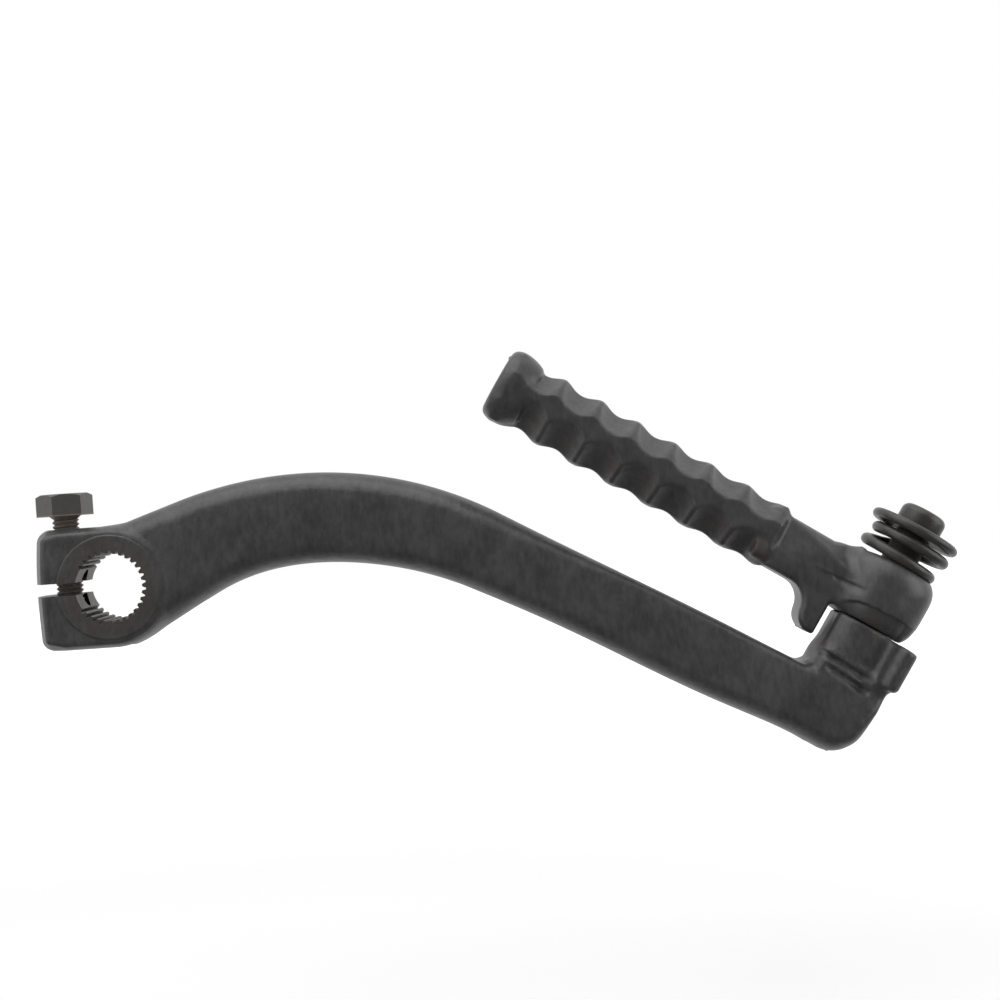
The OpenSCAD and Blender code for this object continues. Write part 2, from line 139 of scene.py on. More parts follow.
def beam_field(x, y, z):
    """Bent beam and elbow: one outline, so that the front runs through without a step."""
    s, n = along_arm(x, z)
    u, h = at_pivot(x, z)
    t = np.clip(s, 0, ARM_LENGTH)
    over, under = upper_edge(t), lower_edge(t)
    half = (over + under) / 2
    off = n - (over - under) / 2
    # The strip starts inside the hub and ends inside the elbow's block.
    strip = np.maximum(np.abs(off) - half, np.maximum(-1 - s, s - ARM_LENGTH - 6))
    elbow = round_box(u, h, ELBOW_LOW, ELBOW_HIGH, ELBOW_CORNERS)
    crown = np.where(off > 0, CROWN_ABOVE, CROWN_BELOW) * np.clip(off / half, -1, 1) ** 2
    # The upper edge sharpens along the fall. Between both edges the rounding changes slowly.
    upper_round = np.interp(t, [80, 125], [4.4, 1.6])
    side = np.clip(0.5 + off / 10, 0, 1)
    edge, deep = LOWER_ROUND + (upper_round - LOWER_ROUND) * side, 1.8 - 0.6 * side
    return trim(np.minimum(strip, elbow), (np.abs(y) - half_depth(t) + crown) / deep, edge)


EYE, HUB_HALF, JAWS_END, JAWS_TOP = 13.7, 8.6, -17.25, 13.6


def hub_field(x, y, z):
    """Round eye and square jaws. The jaws' end bows, and their rim has the wider draft bevel."""
    bow = np.where(z < 0, 0.0025, 0.0045) * z ** 2
    jaws = round_box(x - bow, z, [JAWS_END, -EYE], [0, JAWS_TOP], [2.6, 0, 2.8, 0])
    outline = np.minimum(jaws, np.hypot(x, z) - EYE)
    margin = 1.2 + np.clip((-11 - x) / 4, 0, 1)
    bevel = 0.91 * (outline + margin) + 0.41 * (np.abs(y) - HUB_HALF)
    return trim(plate(outline, y, HUB_HALF, 1.2), bevel, 0.6)


def dent(a, b, start, end, above, below, deep):
    """Depth of a long dimple in a plane of two coordinates, of other widths above and below."""
    reach = math.dist(start, end)
    ea, eb = (end[0] - start[0]) / reach, (end[1] - start[1]) / reach
    along = np.clip(((a - start[0]) * ea + (b - start[1]) * eb) / reach, 0, 1)
    off = (b - start[1]) * ea - (a - start[0]) * eb
    share = np.clip(1 - np.where(off > 0, off / above, -off / below), 0, 1)
    return deep * np.clip(6 * along * (1 - along), 0, 1) * share ** 2 * (3 - 2 * share)


COLLAR, COLLAR_FLAT, COLLAR_FOOT, TURN_GAP = 9.2, -7, -20, 0.3
LUG_INNER, LUG_REACH, LUG_FRONT, LUG_MIDDLE, LUG_HALF = 6.9, 12, 13.6, -3.3, 7.4


def collar_field(x, y, z):
    """Collar with its flat side towards the tongue, and the lug that stops the open pedal."""
    u, h = at_pivot(x, z)
    stem = round_box(u, h, [COLLAR_FLAT, COLLAR_FOOT], [COLLAR, 4], [0, 0, 0, 0])
    stem = trim(plate(stem, y, 9.6, 0.7), np.hypot(u, y) - COLLAR, 0.6)
    lug = round_box(u, -y, [LUG_INNER, -2], [LUG_REACH, LUG_FRONT], [0.6, 0.6, 3.2, 3.2])
    lug = trim(lug, np.abs(h - LUG_MIDDLE) - LUG_HALF, 1.4)
    return trim(join(stem, lug, 4.4), h + TURN_GAP + 0.06 * np.maximum(u - 4, 0), 0.7)


def arm_field(x, y, z):
    """The whole forging, with two folds of metal across the collar's front."""
    u, h = at_pivot(x, z)
    shoulder = 1.7 + 1.9 * np.clip((-u - 3) / 4, 0, 1)
    body = join(beam_field(x, y, z), collar_field(x, y, z), shoulder)
    folds = dent(u, h, (-7.5, -9.8), (6.5, -10.6), 0.7, 1.8, 1.35)
    folds = np.maximum(folds, dent(u, h, (-5, -12.2), (7.5, -13.0), 0.7, 1.8, 1.25))
    return join(body + np.where(y < -4, folds, 0), hub_field(x, y, z), 1.2)


def mesh_object(name, points, faces, smooth=True):
    """A mesh from points in millimetres."""
    mesh = bpy.data.meshes.new(name)
    mesh.from_pydata((np.asarray(points) * MM).tolist(), [], [list(map(int, f)) for f in faces])
    mesh.validate()
    if smooth:
        mesh.shade_smooth()
    obj = bpy.data.objects.new(name, mesh)
    bpy.context.collection.objects.link(obj)
    return obj


def forge(name, field, low, high, step):
    """A closed skin on the zero level of a distance field, one point for each cell it crosses."""
    axes = [np.arange(a, b + step, step) for a, b in zip(low, high)]
    value = field(*np.meshgrid(*axes, indexing="ij"))
    inside = value < 0
    corners = [np.array([i, j, k]) for i in (0, 1) for j in (0, 1) for k in (0, 1)]
    nx, ny, nz = (n - 1 for n in value.shape)
    full = sum(inside[i:nx + i, j:ny + j, k:nz + k].astype(np.int8) for i, j, k in corners)
    crossed = (full > 0) & (full < 8)
    cells = np.argwhere(crossed)
    number = np.full(crossed.shape, -1)
    number[crossed] = np.arange(len(cells))
    total, hits = np.zeros((len(cells), 3)), np.zeros(len(cells))
    for a in corners:
        for axis in range(3):
            if a[axis]:
                continue
            b = a.copy()
            b[axis] = 1
            va, vb = value[tuple((cells + a).T)], value[tuple((cells + b).T)]
            cross = (va < 0) != (vb < 0)
            share = np.where(cross, va / np.where(cross, va - vb, 1), 0)
            total[cross] += (a + share[:, None] * (b - a))[cross]
            hits += cross
    start = np.array(low) + (cells + total / hits[:, None]) * step
    # A few Newton steps bring each point onto the surface, and keep it near its cell.
    points = start.copy()
    small = 0.02
    for _ in range(4):
        here = field(*points.T)
        slope = np.stack([
            (field(*(points + small * e).T) - field(*(points - small * e).T)) / (2 * small)
            for e in np.eye(3)], -1)
        size = np.maximum((slope ** 2).sum(1), 0.2)
        points -= slope * (here / size)[:, None]
        points = np.clip(points, start - 0.6 * step, start + 0.6 * step)
    quads = []
    for axis in range(3):
        a, b = (axis + 1) % 3, (axis + 2) % 3
        below = np.take(inside, range(inside.shape[axis] - 1), axis)
        above = np.take(inside, range(1, inside.shape[axis]), axis)
        for first, order in ((below & ~above, 1), (above & ~below, -1)):
            at = np.argwhere(first)
            ring = []
            for da, db in ((-1, -1), (0, -1), (0, 0), (-1, 0))[::order]:
                near = at.copy()
                near[:, a] += da
                near[:, b] += db
                ring.append(number[tuple(near.T)])
            quads.append(np.stack(ring, 1))
    return mesh_object(name, points, np.concatenate(quads))


def prism(name, outline, low, high):
    """An outline in X and Z run along Y."""
    n = len(outline)
    points = [(x, y, z) for y in (low, high) for x, z in outline]
    faces = [[i, n + i, n + (i + 1) % n, (i + 1) % n] for i in range(n)]
    return mesh_object(name, points, faces + [range(n), range(2 * n - 1, n - 1, -1)], smooth=False)


def lathe(name, profile, sides=96):
    """A profile of (radius, height) turned about Z. A radius of zero closes an end."""
    points, rings = [], []
    for r, h in profile:
        if r == 0:
            rings.append([len(points)])
            points.append((0, 0, h))
            continue
        rings.append(list(range(len(points), len(points) + sides)))
        points += [(r * math.cos(2 * math.pi * i / sides), r * math.sin(2 * math.pi * i / sides), h)
                   for i in range(sides)]
    faces = []
    for low, high in zip(rings, rings[1:]):
        for i in range(sides):
            j = (i + 1) % sides
            ring = [low[i % len(low)], low[j % len(low)], high[j % len(high)], high[i % len(high)]]
            faces.append(list(dict.fromkeys(ring)))
    return mesh_object(name, points, faces)


def place(obj, matrix):
    """Puts a matrix into the mesh itself, so that the finished piece stays at the origin."""
    obj.data.transform(matrix)
    return obj


def carve(obj, cutters, operation="DIFFERENCE"):
    """Cuts other solids out of a mesh, or adds them to it, and removes them."""
    for cutter in cutters:
        step = obj.modifiers.new("carve", "BOOLEAN")
        step.operation, step.solver, step.object = operation, "EXACT", cutter
    bpy.context.view_layer.update()
    graph = bpy.context.evaluated_depsgraph_get()
    mesh = bpy.data.meshes.new_from_object(obj.evaluated_get(graph))
    obj.modifiers.clear()
    old, obj.data = obj.data, mesh
    mesh.name = obj.name
    bpy.data.meshes.remove(old)
    for cutter in cutters:
        bpy.data.meshes.remove(cutter.data)
    return obj


ARM_STEP = 0.5
arm = forge("arm_forging", arm_field, [-18.6, -15.3, -52.3], [186.1, 12, 24.2], ARM_STEP)

# The turned ring round the bore stands proud of both faces.
RING, RING_FACE, RING_EDGE = 11.8, 9.0, 0.35
RING_FLAT = RING - 1.3 * RING_EDGE
ALONG_Y = Matrix.Rotation(math.radians(90), 4, "X")
faced_ring = place(lathe("faced_ring", [
    (0, -RING_FACE), (RING_FLAT, -RING_FACE), (RING - RING_EDGE, -RING_FACE),
    (RING, RING_EDGE - RING_FACE), (RING, RING_FACE - RING_EDGE), (RING - RING_EDGE, RING_FACE),
    (RING_FLAT, RING_FACE), (0, RING_FACE)], 160), ALONG_Y)
carve(arm, [faced_ring], "UNION")

# The broach leaves a wall without grooves on both sides of the slot.
TIP, TEETH, GROOVE, SMOOTH = 7.5, 32, 0.85, math.radians(36)
pitch = 2 * math.pi / TEETH
outline = []
for i in range(TEETH):
    middle = 2 * math.pi * (i + 0.5) / TEETH
    for share, extra in ((-0.31, 0), (-0.1, GROOVE), (0.1, GROOVE), (0.31, 0)):
        deep = extra if abs(middle - math.pi) > SMOOTH else 0
        outline.append(((TIP + deep) * math.cos(middle + share * pitch),
                        (TIP + deep) * math.sin(middle + share * pitch)))
THROUGH, SLOT_LOW, SLOT_TOP = 12, -1.25, 1.55
bore = prism("bore", outline, -THROUGH, THROUGH)
slot = prism("slot", [(-20, SLOT_LOW), (0, SLOT_LOW), (0, SLOT_TOP), (-20, SLOT_TOP)],
             -THROUGH, THROUGH)
# The bolt's hole is wide in the upper jaw, where it breaks into the bore, and tapped in the lower.
BOLT_X, TAPPED, HOLE_X, HOLE = -10.55, 3.04, -10.05, 3.8
hole = place(lathe("hole", [(0, -7), (HOLE, -7), (HOLE, 16), (0, 16)]),
             Matrix.Translation((HOLE_X * MM, 0, 0)))
tapped = place(lathe("tapped", [(0, -16), (TAPPED, -16), (TAPPED, -6), (0, -6)]),
               Matrix.Translation((BOLT_X * MM, 0, 0)))
carve(arm, [bore, slot, hole, tapped])
arm.data.set_sharp_from_angle(angle=math.radians(50))
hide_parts("arm")
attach(arm, "lever")


def group(name, inputs, outputs):
    """A shader node group with named sockets, and its two ends."""
    tree = bpy.data.node_groups.new(name, "ShaderNodeTree")
    for label, kind, value in inputs:
        socket = tree.interface.new_socket(label, in_out="INPUT", socket_type=kind)
        socket.default_value = value
    for label, kind in outputs:
        tree.interface.new_socket(label, in_out="OUTPUT", socket_type=kind)
    return tree, tree.nodes.new("NodeGroupInput"), tree.nodes.new("NodeGroupOutput")


def put(tree, kind, values=None, **settings):
    """Adds a node with its settings and constant inputs."""
    node = tree.nodes.new(kind)
    for key, value in settings.items():
        setattr(node, key, value)
    for key, value in (values or {}).items():
        node.inputs[key].default_value = value
    return node


def wire(tree, *pairs):
    """Links (node, output) to (node, input) for each pair."""
    for (a, out), (b, into) in pairs:
        tree.links.new(a.outputs[out], b.inputs[into])


def material(name):
    """An empty material and its tree, output and Principled shader."""
    made = bpy.data.materials.new(name)
    made.use_nodes = True
    tree = made.node_tree
    tree.nodes.clear()
    out = put(tree, "ShaderNodeOutputMaterial")
    skin = put(tree, "ShaderNodeBsdfPrincipled")
    tree.links.new(skin.outputs["BSDF"], out.inputs["Surface"])
    return made, tree, skin


# Paint over forged steel: slow swells of the forging, fine orange peel, and a tone that drifts in
# patches and in streaks down the dies.
grain, ends_in, ends_out = group(
    "forging_grain", [("Relief", "NodeSocketFloat", 0.3)],
    [("Tone", "NodeSocketFloat"), ("Normal", "NodeSocketVector")])
where = put(grain, "ShaderNodeTexCoord")
drawn = put(grain, "ShaderNodeVectorMath", {1: (1, 0.6, 0.4)}, operation="MULTIPLY")
swell = put(grain, "ShaderNodeTexNoise", {"Scale": 300, "Detail": 3, "Roughness": 0.55})
peel = put(grain, "ShaderNodeTexNoise", {"Scale": 1000, "Detail": 2, "Roughness": 0.55})
patch = put(grain, "ShaderNodeTexNoise", {"Scale": 120, "Detail": 4, "Roughness": 0.6})
streak = put(grain, "ShaderNodeTexNoise", {"Scale": 900, "Detail": 3, "Roughness": 0.6})
height = put(grain, "ShaderNodeMath", {1: 0.3}, operation="MULTIPLY_ADD")
bump = put(grain, "ShaderNodeBump", {"Distance": 0.0007})
both = put(grain, "ShaderNodeMath", operation="ADD")
tone = put(grain, "ShaderNodeMapRange", {"From Min": 0.75, "From Max": 1.25})
wire(grain, ((where, "Object"), (drawn, 0)), ((drawn, 0), (streak, "Vector")),
     ((where, "Object"), (swell, "Vector")), ((where, "Object"), (peel, "Vector")),
     ((where, "Object"), (patch, "Vector")),
     ((peel, "Fac"), (height, 0)), ((swell, "Fac"), (height, 2)), ((height, 0), (bump, "Height")),
     ((ends_in, "Relief"), (bump, "Strength")),
     ((patch, "Fac"), (both, 0)), ((streak, "Fac"), (both, 1)), ((both, 0), (tone, "Value")),
     ((tone, "Result"), (ends_out, "Tone")), ((bump, "Normal"), (ends_out, "Normal")))

# A ragged patch round a point, for rust that bleeds through where parts rub.
rubbed, ends_in, ends_out = group(
    "rubbed_patch", [("Centre", "NodeSocketVector", (0, 0, 0)), ("Radius", "NodeSocketFloat", 0.01),
                     ("Soft", "NodeSocketFloat", 0.004)], [("Mask", "NodeSocketFloat")])
where = put(rubbed, "ShaderNodeTexCoord")
rag = put(rubbed, "ShaderNodeTexNoise", {"Scale": 260, "Detail": 4, "Roughness": 0.65})
away = put(rubbed, "ShaderNodeVectorMath", operation="DISTANCE")
ragged = put(rubbed, "ShaderNodeMath", {1: 0.008}, operation="MULTIPLY_ADD")
near = put(rubbed, "ShaderNodeMath", {1: 0.004}, operation="SUBTRACT")
end = put(rubbed, "ShaderNodeMath", operation="ADD")
fade = put(rubbed, "ShaderNodeMapRange", {"To Min": 1, "To Max": 0})
wire(rubbed, ((where, "Object"), (rag, "Vector")), ((where, "Object"), (away, 0)),
     ((ends_in, "Centre"), (away, 1)), ((rag, "Fac"), (ragged, 0)), ((away, "Value"), (near, 0)),
     ((near, 0), (ragged, 2)),
     ((ends_in, "Radius"), (end, 0)), ((ends_in, "Soft"), (end, 1)),
     ((ragged, 0), (fade, "Value")), ((ends_in, "Radius"), (fade, "From Min")),
     ((end, 0), (fade, "From Max")), ((fade, "Result"), (ends_out, "Mask")))

RUST, RUST_DULL = (0.040, 0.027, 0.022), 0.35


def painted(name, dark, light, roughness, relief, rubs):
    """Satin black paint whose tone drifts. rubs: centre, radius, softness and share of rust."""
    made, tree, skin = material(name)
    use = put(tree, "ShaderNodeGroup", node_tree=grain)
    use.inputs["Relief"].default_value = relief
    tone = put(tree, "ShaderNodeMix", {"A": (*dark, 1), "B": (*light, 1)}, data_type="RGBA")
    wire(tree, ((use, "Tone"), (tone, "Factor")), ((use, "Normal"), (skin, "Normal")))
    last, dull = tone, None
    for centre, radius, soft, share in rubs:
        patch = put(tree, "ShaderNodeGroup", node_tree=rubbed)
        patch.inputs["Centre"].default_value = [c * MM for c in centre]
        patch.inputs["Radius"].default_value = radius * MM
        patch.inputs["Soft"].default_value = soft * MM
        part = put(tree, "ShaderNodeMath", {1: share}, operation="MULTIPLY")
        rust = put(tree, "ShaderNodeMix", data_type="RGBA")
        rust.inputs["B"].default_value = (*RUST, 1)
        wire(tree, ((patch, "Mask"), (part, 0)), ((part, 0), (rust, "Factor")))
        tree.links.new(last.outputs["Result"], rust.inputs["A"])
        last = rust
        worn = put(tree, "ShaderNodeMath", {1: RUST_DULL, 2: roughness}, operation="MULTIPLY_ADD")
        wire(tree, ((part, 0), (worn, 0)))
        if dull:
            wire(tree, ((dull, 0), (worn, 2)))
        dull = worn
    wire(tree, ((last, "Result"), (skin, "Base Color")), ((dull, 0), (skin, "Roughness")))
    return made, tree, skin


def row_point(u, y, h):
    """A point given outwards, in depth and up from the pivot, in the frame's millimetres."""
    return (PIVOT[0] + u * OUT[0] + h * UP[0], y, PIVOT[1] + u * OUT[1] + h * UP[1])


# Bare broached steel inside the bore, paint everywhere else.
arm_paint, tree, skin = painted(
    "forging_paint", (0.033, 0.0322, 0.0318), (0.062, 0.0615, 0.062), 0.38, 0.24, [
        ((0, -RING_FACE, 0), 8, 5, 0.5), (row_point(-9, -2, -8), 4, 3, 0.45),
        (row_point(2, -9, 0), 1, 2, 0.5)])
steel = put(tree, "ShaderNodeBsdfPrincipled", {"Metallic": 0.8, "Roughness": 0.5})
dull = put(tree, "ShaderNodeTexNoise", {"Scale": 500, "Detail": 3, "Roughness": 0.6})
metal = put(tree, "ShaderNodeMix", {
    "A": (0.04, 0.034, 0.03, 1), "B": (0.20, 0.185, 0.165, 1)}, data_type="RGBA")
where = put(tree, "ShaderNodeTexCoord")
axes = put(tree, "ShaderNodeSeparateXYZ")
flat = put(tree, "ShaderNodeCombineXYZ")
radius = put(tree, "ShaderNodeVectorMath", operation="LENGTH")
in_bore = put(tree, "ShaderNodeMath", {1: (TIP + 1.2) * MM}, operation="LESS_THAN")
depth_in = put(tree, "ShaderNodeMath", operation="ABSOLUTE")
off_face = put(tree, "ShaderNodeMath", {1: (RING_FACE - 0.05) * MM}, operation="LESS_THAN")
bare = put(tree, "ShaderNodeMath", operation="MULTIPLY")
blend = put(tree, "ShaderNodeMixShader")
wire(tree, ((where, "Object"), (axes, 0)), ((axes, "X"), (flat, "X")), ((axes, "Z"), (flat, "Z")),
     ((flat, 0), (radius, 0)), ((radius, "Value"), (in_bore, 0)), ((axes, "Y"), (depth_in, 0)),
     ((depth_in, 0), (off_face, 0)), ((in_bore, 0), (bare, 0)), ((off_face, 0), (bare, 1)),
     ((where, "Object"), (dull, "Vector")), ((dull, "Fac"), (metal, "Factor")),
     ((metal, "Result"), (steel, "Base Color")), ((bare, 0), (blend, 0)),
     ((skin, "BSDF"), (blend, 1)), ((steel, "BSDF"), (blend, 2)))
tree.links.new(blend.outputs[0], tree.nodes["Material Output"].inputs["Surface"])
arm.data.materials.clear()
arm.data.materials.append(arm_paint)

# ---------------------------------------------------------------------------------------------
# Pedal: one forging of hub, neck, scalloped peg and the tongue that meets the stop lug. Two dies
# press four rows of scallops, so the parting line runs along its top and bottom. It turns on the
# pivot pin from folded, as it stands here, to straight out towards -Y.
# ---------------------------------------------------------------------------------------------
# Peg: height of its axis, and how far it starts and ends from the pivot. Its flats widen outwards.
PEG_HEIGHT, PEG_START, PEG_END = 6.9, 27.3, 99.7
flats = flow([28, 95], [7.5, 8.1], 1)
# Each row: how many scallops, how far apart, where the first lies, and the radius of the tool.
SCALLOPS, PITCH, FIRST, ROUND = 7, 9.53, 33.5, 6.1
# Upper and lower rows: their angle above the front, depth, and where they start.
ROWS = (58, 5.9, FIRST), (-48, 5.4, FIRST - 0.95)
PEDAL_HUB, PEDAL_HUB_TALL = 10.95, 15.1


def hub_side(h):
    """Radius of the barrel shaped hub at a height."""
    middle = 8.3
    share = np.abs(h - middle) / np.where(h < middle, middle, PEDAL_HUB_TALL - middle)
    return PEDAL_HUB - np.where(h < middle, 1.8, 2.15) * share ** 3.8


def scallop_row(reach, across, facing, floor_at, first):
    """One row of round grooves across the peg. facing: angle above the front."""
    ridge, none = 0.9, -99
    out = -across[0] * math.cos(facing) + across[1] * math.sin(facing)
    left = np.clip(np.floor((reach - first) / PITCH), 0, SCALLOPS - 1)
    outside = [ROUND - np.hypot(reach - first - k * PITCH, out - floor_at - ROUND)
               for k in (left, left + 1)]
    return -trim(outside[0], np.where(left < SCALLOPS - 1, outside[1], none), ridge)


def capsule(u, y, h, start, end, radius):
    """A round bar between two points."""
    start, run = np.array(start), np.array(end) - np.array(start)
    here = u - start[0], y - start[1], h - start[2]
    along = np.clip((here[0] * run[0] + here[1] * run[1] + here[2] * run[2]) / (run @ run), 0, 1)
    gap = [here[i] - along * run[i] for i in range(3)]
    return np.sqrt(gap[0] ** 2 + gap[1] ** 2 + gap[2] ** 2) - radius


def peg_field(u, y, h):
    """Octagonal bar with four rows of scallops, two each side, and a round rim at its end."""
    reach, v = -u, h - PEG_HEIGHT
    half = flats(np.clip(reach, 28, 95))
    octagon = np.maximum(np.maximum(np.abs(y), np.abs(v)), (np.abs(y) + np.abs(v)) / math.sqrt(2))
    bar = trim(octagon - half, np.maximum(PEG_START - reach, reach - PEG_END + 2), 1.2)
    # The crests are softest on the parting line.
    crest = 0.45 + 0.5 * np.clip(1 - np.abs(y) / 6, 0, 1)
    for facing, floor_at, first in ROWS:
        for side in (-1, 1):
            row = scallop_row(reach, (side * y, v), math.radians(facing), floor_at, first)
            bar = trim(bar, -row, crest)
    widest = PEG_END - 3
    rim = 8.6 - np.where(reach > widest, 0.14, 0.05) * (reach - widest) ** 2
    rim = trim(np.hypot(y, v - 0.25) - rim, np.abs(reach - PEG_END + 4.4) - 4.2, 0.9)
    return join(bar, rim, 0.8)


NECK_LOW, NECK_HIGH, NECK_CORNER, NECK_END = [-6.8, -6.25], [6.8, 6.2], 2.6, -31


def neck_field(u, y, h):
    """Neck with a long bevel along its top edges and a flat pressed on each side."""
    climb = np.where(h > PEG_HEIGHT, 0.33 * np.clip(u + 15, 0, 6.4), 0)
    section = round_box(y, h - climb - PEG_HEIGHT, NECK_LOW, NECK_HIGH, [NECK_CORNER] * 4)
    neck = trim(section, np.maximum(u, NECK_END - u), 1)
    bevel = 0.6 * (np.abs(y) - 6.7) + 0.8 * (h - 10.2 + 0.11 * (u + 20))
    flat = -0.1 * (u + 21.5) + 0.95 * (np.abs(y) - 6.5) + 0.28 * (h - 7)
    return trim(trim(neck, bevel, 0.9), flat, 0.4)


LIP, LIP_HEIGHT = 0.85, 4.2
TONGUE_LOW, TONGUE_HIGH, TONGUE_HALF = [-15.15, -8], [-9.8, 5], 6.5


def pedal_field(x, y, z):
    """The whole forging: hub, neck, peg and tongue, and the flash that is left on it."""
    u, h = at_pivot(x, z)
    side, half = hub_side(np.clip(h, 0, PEDAL_HUB_TALL)), PEDAL_HUB_TALL / 2
    hub = trim(np.hypot(u, y) - side, np.abs(h - half) - half, 0.2)
    # The hub's foot is set back under an arched lip on both sides.
    arch = LIP_HEIGHT * (1 - np.exp(-np.maximum(u + 10, 0) / 3))
    step_in = LIP * np.clip((9.5 - np.abs(u)) / 2.5, 0, 1)
    hub = trim(hub, -np.maximum(side - step_in - np.hypot(u, y), h - arch), 0.25)
    # The hub's top dips beside the spring and rises again into the neck.
    top = h - 15.12 + 0.14 * np.clip(-4.5 - u, 0, 4) - 0.85 * np.maximum(-8 - u, 0)
    body = np.maximum(join(hub, neck_field(u, y, h), 2), top)
    recess = dent(u, h, (-17.5, 5.3), (-4.5, 6.4), 0.6, 2.2, 0.6)
    body = body + np.where(np.abs(y) > 4, recess, 0)
    body = join(body, peg_field(u, y, h), 1.4)
    # The tongue hangs from the neck, with a wide fillet on its outer side.
    under = np.maximum(np.abs(h - 3) - 2.7, np.maximum(u + 5, -u - 27))
    web = 0.8 + 4.4 * np.clip((-11.6 - u) / 1.6, 0, 1)
    tongue = join(round_box(u, h, TONGUE_LOW, TONGUE_HIGH, [4, 0.7, 0, 0]), under, web)
    body = join(body, plate(tongue, y, TONGUE_HALF, 1.4, 1.4), 0.8)
    # Flash that the trimming left: one leaf under the peg and a nib on its end.
    leaf = capsule(u, y, h, (-75.6, 0, 0.35), (-73.2, 0, 0.15), 0.42)
    nib = capsule(u, y, h, (-98.6, 0, 12.2), (-99.3, 0, 13.0), 0.6)
    return join(body, np.minimum(leaf, nib), 0.25)


PEDAL_STEP = 0.36


def pedal_own(u, y, h):
    """The pedal's field in pivot directions: outwards, depth and up."""
    return pedal_field(PIVOT[0] + u * OUT[0] + h * UP[0], y, PIVOT[1] + u * OUT[1] + h * UP[1])


AT_PIVOT = Matrix((
    (OUT[0], 0, UP[0], PIVOT[0] * MM),
    (0, 1, 0, 0),
    (OUT[1], 0, UP[1], PIVOT[1] * MM),
    (0, 0, 0, 1)))
pedal = place(
    forge("pedal_forging", pedal_own, [-101.1, -12.3, -9.3], [12, 12.3, 17.7], PEDAL_STEP),
    AT_PIVOT)
PEDAL_BORE = 4.07
pedal_bore = place(lathe("pedal_bore", [
    (0, -1), (PEDAL_BORE, -1), (PEDAL_BORE, 16.5), (0, 16.5)]), AT_PIVOT)
carve(pedal, [pedal_bore])
pedal.data.set_sharp_from_angle(angle=math.radians(55))
pedal_paint, *_ = painted(
    "pedal_paint", (0.036, 0.0355, 0.0355), (0.061, 0.0605, 0.061), 0.36, 0.16, [
        (row_point(-12, -3, -1), 2, 4, 0.25), (row_point(0, -10, 0.5), 1, 2, 0.5),
        *((row_point(2.5 - FIRST - PITCH * i, -6.5, 1.5), 1, 4, 0.7) for i in range(SCALLOPS))])
pedal.data.materials.clear()
pedal.data.materials.append(pedal_paint)
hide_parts("pedal")
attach(pedal, "pedal")

# ---------------------------------------------------------------------------------------------
# Pivot pin and washer: turned steel, painted with the rest. The pin is pressed into the collar
# and its well rounded head holds the washer on the spring.
# ---------------------------------------------------------------------------------------------
fitting_paint, *_ = painted(
    "fitting_paint", (0.027, 0.0255, 0.024), (0.042, 0.040, 0.0375), 0.36, 0.15,
    [(row_point(0, 0, 19), 4, 3, 0.8)])


def arc(middle, radius, start, end, steps=8):
    """Points of a round edge in a profile. Angles in degrees from outwards, upwards."""
    turns = [math.radians(a) for a in np.linspace(start, end, steps)]
    return [(middle[0] + radius * math.cos(a), middle[1] + radius * math.sin(a)) for a in turns]


PIN, PIN_END, PIN_BEVEL = 4, -19.2, 0.6
HEAD_LOW, HEAD_TOP, HEAD, HEAD_FOOT, HEAD_ROUND = 24.95, 29.25, 5.3, 0.3, 1.7
pin = place(lathe("pivot_pin_turned", [
    (0, PIN_END), (PIN - PIN_BEVEL, PIN_END), (PIN, PIN_END + PIN_BEVEL), (PIN, HEAD_LOW),
    *arc((HEAD - HEAD_FOOT, HEAD_LOW + HEAD_FOOT), HEAD_FOOT, -90, 0, 4),
    *arc((HEAD - HEAD_ROUND, HEAD_TOP - HEAD_ROUND), HEAD_ROUND, 0, 80), (0, HEAD_TOP)]), AT_PIVOT)
pin.data.set_sharp_from_angle(angle=math.radians(50))
WASHER_BORE, WASHER_LOW, WASHER_TOP, WASHER_RIM = 4.06, 22.75, 24.9, 9.45
washer = place(lathe("spring_washer_turned", [
    (WASHER_BORE, WASHER_LOW),
    *arc((WASHER_RIM, (WASHER_LOW + WASHER_TOP) / 2), (WASHER_TOP - WASHER_LOW) / 2, -90, 90, 12),
    (WASHER_BORE, WASHER_TOP), (WASHER_BORE, WASHER_LOW)]), AT_PIVOT)
washer.data.set_sharp_from_angle(angle=math.radians(50))
for obj, node in ((pin, "pivot_pin"), (washer, "spring_washer")):
    obj.data.materials.append(fitting_paint)
    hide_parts(node)
    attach(obj, "lever")

# ---------------------------------------------------------------------------------------------
# Spring: heavy round wire wound left handed. It lies flat on the pedal's hub, climbs behind,
# lies flat again and ends against the washer.
# ---------------------------------------------------------------------------------------------
TURNS = 1.64
sweep = bpy.data.node_groups.new("spring_wire", "GeometryNodeTree")
for label, value in (("Turns", TURNS), ("Coil Radius", 8.45 * MM), ("Wire Radius", 1.25 * MM),
                     ("Low", 16.2 * MM), ("Climb", 5.4 * MM), ("Lean", 0.7 * MM)):
    socket = sweep.interface.new_socket(label, in_out="INPUT", socket_type="NodeSocketFloat")
    socket.default_value = value
sweep.interface.new_socket("Paint", in_out="INPUT", socket_type="NodeSocketMaterial")
sweep.interface.new_socket("Geometry", in_out="OUTPUT", socket_type="NodeSocketGeometry")
given, result = sweep.nodes.new("NodeGroupInput"), sweep.nodes.new("NodeGroupOutput")
line = put(sweep, "GeometryNodeCurvePrimitiveLine")
even = put(sweep, "GeometryNodeResampleCurve", {"Count": 150})
factor = put(sweep, "GeometryNodeSplineParameter")
turned = put(sweep, "ShaderNodeMath", operation="MULTIPLY")
angle = put(sweep, "ShaderNodeMath", {1: -2 * math.pi}, operation="MULTIPLY")
cosine = put(sweep, "ShaderNodeMath", operation="COSINE")
sine = put(sweep, "ShaderNodeMath", operation="SINE")
across = put(sweep, "ShaderNodeMath", operation="MULTIPLY_ADD")
